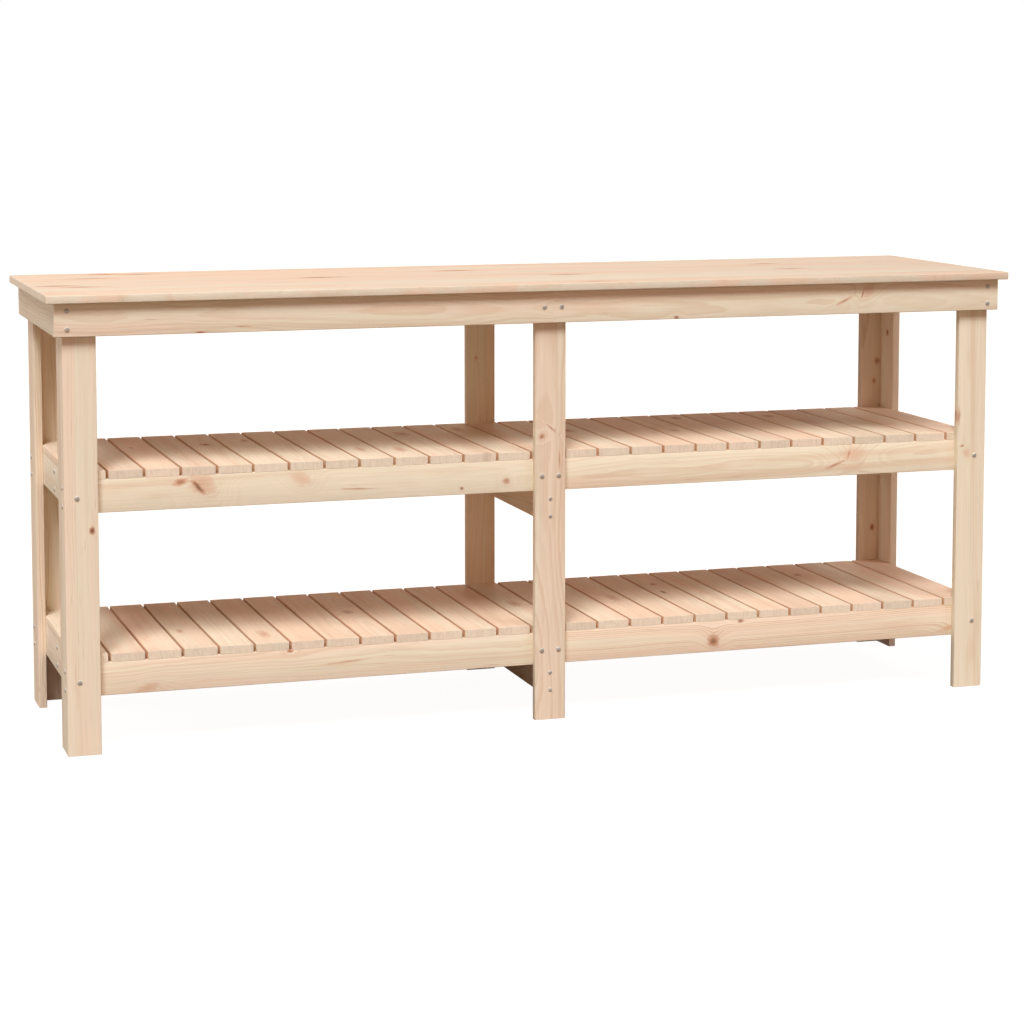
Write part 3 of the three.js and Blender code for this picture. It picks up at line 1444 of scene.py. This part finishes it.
@dataclass
class Screws:
    """The domed screw heads with a cross recess that hold the frame together.

    Attributes:
        material: Their finish.
        radius: A head's radius.
        crown: A head's height.
        sides: How many sides its outline has.
        rings: How many rings of faces its dome has.
        rim: The height of its upright rim, as a share of the crown.
        roundness: How near the dome comes to a quarter circle.
        flat: How far out its flat sides stand, as a share of the radius.
        slot: A slot's length and width as shares of the radius, and its blade's height as one of the crown.
        spread: How far the two screws of a pair stand from the middle between them.
        small: How much smaller the heads on the cross pieces are.
        crease: The sharpest bend that is shaded smooth, in degrees.
        seed: The seed of the heads' turns.
    """

    material: bpy.types.Material
    radius: float = 0.0042
    crown: float = 0.0021
    sides: int = 16
    rings: int = 3
    rim: float = 0.45
    roundness: float = 0.96
    flat: float = 0.98
    slot: tuple[float, float, float] = (1.02, 0.24, 1.1)
    spread: float = 0.016
    small: float = 0.8
    crease: float = 40.0
    seed: int = 77

    def build(self) -> list[Piece]:
        """Sets a head in every screw's place, on all four sides of the bench.

        Returns:
            The heads.
        """
        pattern = self._pattern()
        draw = random.Random(self.seed)
        heads = []
        for name, place, outward in self._places():
            spin = Matrix.Rotation(draw.uniform(0.0, math.pi / 2), 4, "Z")
            turn = outward.to_track_quat("Z", "Y").to_matrix().to_4x4()
            size = Matrix.Scale(self.small if "_cross_" in name else 1.0, 4)
            head = copy_of(pattern, name, Matrix.Translation(place) @ turn @ spin @ size)
            finish_piece(head, self.material, Slot.SCREW)
            heads.append(head)
        remove(pattern)
        return heads

    def _pattern(self) -> Piece:
        """Models one head at the origin, standing up along Z on a flat underside.

        Returns:
            The head, as a pattern to copy.
        """
        height = self.crown * self.rim
        deselect_all()
        bpy.ops.mesh.primitive_cylinder_add(
            vertices=self.sides, radius=self.radius, depth=height, end_fill_type="NGON",
            location=(0.0, 0.0, height / 2))
        head = settle(bpy.context.object, "screw_pattern")
        self._raise_dome(head)
        for turn in (0.0, math.pi / 2):
            self._cut_slot(head, turn)
        smooth_up_to(head, self.crease)
        return head

    def _raise_dome(self, head: Piece) -> None:
        """Insets and lifts the top face ring by ring into a dome.

        Args:
            head: The head.
        """
        angles = [ring / (self.rings + 1) * math.pi / 2 for ring in range(self.rings + 1)]
        with edit_mode(head):
            select_faces(head, lambda face: face.normal.z > MOSTLY_FACING)
            for lower, upper in zip(angles, angles[1:]):
                inwards = math.cos(lower * self.roundness) - math.cos(upper * self.roundness)
                rise = self.crown * (1.0 - self.rim) * (math.sin(upper) - math.sin(lower))
                bpy.ops.mesh.inset(thickness=self.radius * inwards * self.flat, depth=0.0)
                bpy.ops.transform.translate(value=(0.0, 0.0, rise))

    def _cut_slot(self, head: Piece, turn: float) -> None:
        """Cuts one slot of the cross recess.

        Args:
            head: The head.
            turn: Which way the slot runs, in radians.
        """
        deselect_all()
        bpy.ops.mesh.primitive_cube_add(size=1.0, location=(0.0, 0.0, self.crown))
        blade = bpy.context.object
        length, width, height = self.slot
        blade.scale = (self.radius * length, self.radius * width, self.crown * height)
        blade.rotation_euler.z = turn
        settle(blade, "recess_blade")
        cutter = head.modifiers.new("recess", "BOOLEAN")
        cutter.operation = "DIFFERENCE"
        cutter.solver = "EXACT"
        cutter.object = blade
        select_only(head)
        bpy.ops.object.modifier_apply(modifier=cutter.name)
        remove(blade)

    def _places(self) -> Iterator[tuple[str, Vector, Vector]]:
        """Works out every screw from the boards that it joins.

        Returns:
            Each screw's name, the point where its head sits and the way that it faces.
        """
        for across, side in FRONT_AND_BACK:
            outward = Vector((0.0, side, 0.0))
            centre_leg = self._skin(f"leg_{across}_centre", Axis.Y, side)
            for along, hand in LEFT_AND_RIGHT:
                corner = f"{across}_{along}"
                apron = middle_of(f"apron_{corner}")
                apron.y = self._skin(f"apron_{corner}", Axis.Y, side)
                in_the_leg = Vector((middle_of(f"leg_{corner}_side").x, apron.y, apron.z))
                yield from self._pair(f"screw_apron_{corner}", in_the_leg, outward)
                at_the_joint = Vector((hand * self.spread, apron.y, apron.z))
                yield f"screw_apron_{corner}_centre", at_the_joint, outward
                for shelf in SHELF_NAMES:
                    rail = middle_of(f"{shelf}_rail_side_{along}")
                    face = self._skin(f"leg_{corner}_face", Axis.Y, side)
                    yield f"screw_{shelf}_leg_{corner}", Vector((rail.x, face, rail.z)), outward
                    at_the_joint = Vector((hand * self.spread, centre_leg, rail.z))
                    yield f"screw_{shelf}_centre_{corner}", at_the_joint, outward
                    edge = self._skin(f"leg_{corner}_side", Axis.X, hand)
                    long_rail = middle_of(f"{shelf}_rail_{corner}")
                    yield from self._pair(
                        f"screw_{shelf}_side_{corner}", Vector((edge, long_rail.y, rail.z)),
                        Vector((hand, 0.0, 0.0)))
            for shelf in SHELF_NAMES:
                in_the_cross = Vector((0.0, centre_leg, middle_of(f"{shelf}_cross_piece").z))
                yield from self._pair(f"screw_{shelf}_cross_{across}", in_the_cross, outward)
        for shelf in SHELF_NAMES:
            for along, hand in LEFT_AND_RIGHT:
                rail = f"{shelf}_rail_side_{along}"
                place = Vector((self._skin(rail, Axis.X, hand), 0.0, middle_of(rail).z))
                yield from self._pair(f"screw_{shelf}_middle_{along}", place, Vector((hand, 0.0, 0.0)))

    def _pair(self, name: str, middle: Vector, outward: Vector) -> Iterator[tuple[str, Vector, Vector]]:
        """Two screws, one above the other.

        Args:
            name: The start of their names.
            middle: The point between them.
            outward: The way that they face.

        Returns:
            Each screw's name, place and way, the lower one first.
        """
        for word, step in (("low", -1.0), ("high", 1.0)):
            yield f"{name}_{word}", middle + Vector((0.0, 0.0, step * self.spread)), outward

    def _skin(self, node: str, axis: Axis, way: float) -> float:
        """Where a node's outer face is, up an axis if the way is positive and down it if not."""
        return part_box(node)[1 if way > 0 else 0][axis.value]


# ---- Studio -------------------------------------------------------------------------------------


def hang(lamp: bpy.types.Light, towards: Vector, place: Vector) -> None:
    """Hangs a light and turns it to shine the way that it should.

    Args:
        lamp: The light's own settings.
        towards: The way from what it lights to the light.
        place: Where it hangs.
    """
    light = bpy.data.objects.new(lamp.name, lamp)
    light.location = place
    light.rotation_mode = "QUATERNION"
    light.rotation_quaternion = towards.to_track_quat("Z", "Y")
    bpy.context.scene.collection.objects.link(light)


def towards_light(azimuth: float, elevation: float) -> Vector:
    """The unit vector towards a light, from its side and its height in degrees."""
    turn, lift = math.radians(azimuth), math.radians(elevation)
    return Vector((math.sin(turn) * math.cos(lift), -math.cos(turn) * math.cos(lift), math.sin(lift)))


@dataclass(frozen=True)
class SoftLight:
    """A large soft light, so far away that it falls evenly on the whole bench.

    Attributes:
        name: Its name.
        azimuth: The side that it stands on, in degrees: 0 in front, 90 on the right.
        elevation: How high it stands, in degrees.
        spread: How wide it looks from the bench, in degrees.
        strength: How bright it is.
        colour: Its colour.
        distance: Where it is hung, in metres, which changes nothing but where it is drawn.
    """

    name: str
    azimuth: float
    elevation: float
    spread: float
    strength: float
    colour: Colour = (1.0, 1.0, 1.0)
    distance: float = 5.0

    def build(self) -> None:
        """Hangs the light."""
        lamp = bpy.data.lights.new(self.name, "SUN")
        lamp.energy = self.strength
        lamp.angle = math.radians(self.spread)
        lamp.color = self.colour
        towards = towards_light(self.azimuth, self.elevation)
        hang(lamp, towards, towards * self.distance)


@dataclass(frozen=True)
class NearLight:
    """A round soft light beside the bench, which falls off towards the far end.

    Attributes:
        name: Its name.
        target: The point that it looks at.
        azimuth: The side that it stands on, in degrees, as for the far lights.
        elevation: How high it stands, in degrees.
        distance: How far it is from its target, in metres.
        size: Its diameter, in metres.
        strength: How bright it is at its target, on the far lights' scale.
    """

    name: str
    target: tuple[float, float, float]
    azimuth: float
    elevation: float
    distance: float
    size: float
    strength: float

    def build(self) -> None:
        """Hangs the light."""
        lamp = bpy.data.lights.new(self.name, "AREA")
        lamp.shape = "DISK"
        lamp.size = self.size
        lamp.energy = self.strength * math.pi * self.distance ** 2
        towards = towards_light(self.azimuth, self.elevation)
        hang(lamp, towards, Vector(self.target) + towards * self.distance)


@dataclass
class Studio:
    """A plain pale floor, tall lights in front, low ones at the front, left and back, and a warm fill.

    Attributes:
        camera_place: Where the camera stands.
        camera_yaw: How far it is turned towards +X, in degrees.
        camera_pitch: How far it looks down, in degrees.
        lens: Its focal length, in millimetres on a 36 mm sensor.
        shift: Its vertical shift, as a share of the frame's width.
        lights: The lights.
        fill: The colour and strength of the weak light from all round.
        floor_size: The floor's side, in metres.
    """

    camera_place: tuple[float, float, float] = (-1.4995, -4.6519, 1.1609)
    camera_yaw: float = 17.845
    camera_pitch: float = 5.410
    lens: float = 91.78
    shift: float = -0.18
    lights: tuple[SoftLight | NearLight, ...] = (
        SoftLight("key_light_low", -30.0, 46.5, 20.0, 1.22),
        SoftLight("key_light_high", -30.0, 58.0, 20.0, 1.22),
        SoftLight("second_light", 43.0, 44.0, 22.0, 0.80),
        SoftLight("front_fill", 0.0, 4.0, 40.0, 0.42, (1.0, 0.73, 0.60)),
        NearLight("left_fill", (-0.9, 0.0, 0.4), -105.0, 17.0, 2.4, 1.3, 0.92),
        SoftLight("back_fill", 160.0, 4.0, 40.0, 0.60, (1.0, 0.88, 0.76)),
    )
    fill: Colour = (0.242, 0.112, 0.071)
    floor_size: float = 60.0

    def build(self) -> None:
        """Sets the floor, the lights, the sky and the camera."""
        self._floor()
        for light in self.lights:
            light.build()
        self._sky()
        self._camera()
        bpy.context.scene.view_settings.view_transform = "Standard"
        bpy.context.scene.view_settings.look = "None"

    def _floor(self) -> None:
        """Lays the floor."""
        deselect_all()
        bpy.ops.mesh.primitive_plane_add(size=self.floor_size, location=(0.0, 0.0, 0.0))
        floor = bpy.context.object
        floor.name = "studio_floor"
        floor.data.materials.append(FloorFinish().material())
        floor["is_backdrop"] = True

    def _sky(self) -> None:
        """Fills the studio with weak even light, behind a white background."""
        world = bpy.data.worlds.new("studio")
        world.use_nodes = True
        bpy.context.scene.world = world
        tree = world.node_tree
        path = tree.nodes.new("ShaderNodeLightPath")
        colour = tree.nodes.new("ShaderNodeMix")
        colour.data_type = "RGBA"
        colour.inputs[MIX_FIRST].default_value = (*self.fill, 1.0)
        colour.inputs[MIX_SECOND].default_value = WHITE
        tree.links.new(path.outputs["Is Camera Ray"], colour.inputs[MIX_SHARE])
        tree.links.new(colour.outputs[MIX_RESULT], tree.nodes["Background"].inputs["Color"])

    def _camera(self) -> None:
        """Sets the camera at the front left, looking slightly down."""
        data = bpy.data.cameras.new("camera")
        data.lens = self.lens
        data.shift_y = self.shift
        camera = bpy.data.objects.new("camera", data)
        camera.location = self.camera_place
        camera.rotation_euler = (math.radians(90.0 - self.camera_pitch), 0.0, -math.radians(self.camera_yaw))
        bpy.context.scene.collection.objects.link(camera)
        bpy.context.scene.camera = camera


# ---- The bench ----------------------------------------------------------------------------------


def write_sizes() -> None:
    """Works out the CAD box and the visual model's box as plain lists, which are then not kept."""
    boxes = {"cad": CAD_BOUNDS, "visual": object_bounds()}
    {name: [list(corner) for corner in box] for name, box in boxes.items()}


def main() -> None:
    """Builds the studio and then every sub-assembly in order, and reports each piece."""
    logging.basicConfig(level=logging.INFO, format="%(name)s: %(message)s")
    Studio().build()
    shop = BoardShop(Finishes())
    assemblies = (
        Tabletop(shop),
        Apron(shop),
        Legs(shop),
        Shelf.upper(shop),
        Shelf.lower(shop),
        Screws(shop.finishes.zinc),
    )
    for assembly in assemblies:
        pieces = assembly.build()
        for piece in pieces:
            LOG.info("%s, %d faces", piece.name, len(piece.data.polygons))
        LOG.info("%s: %d pieces", type(assembly).__name__, len(pieces))
    write_sizes()


if __name__ == "__main__":
    main()
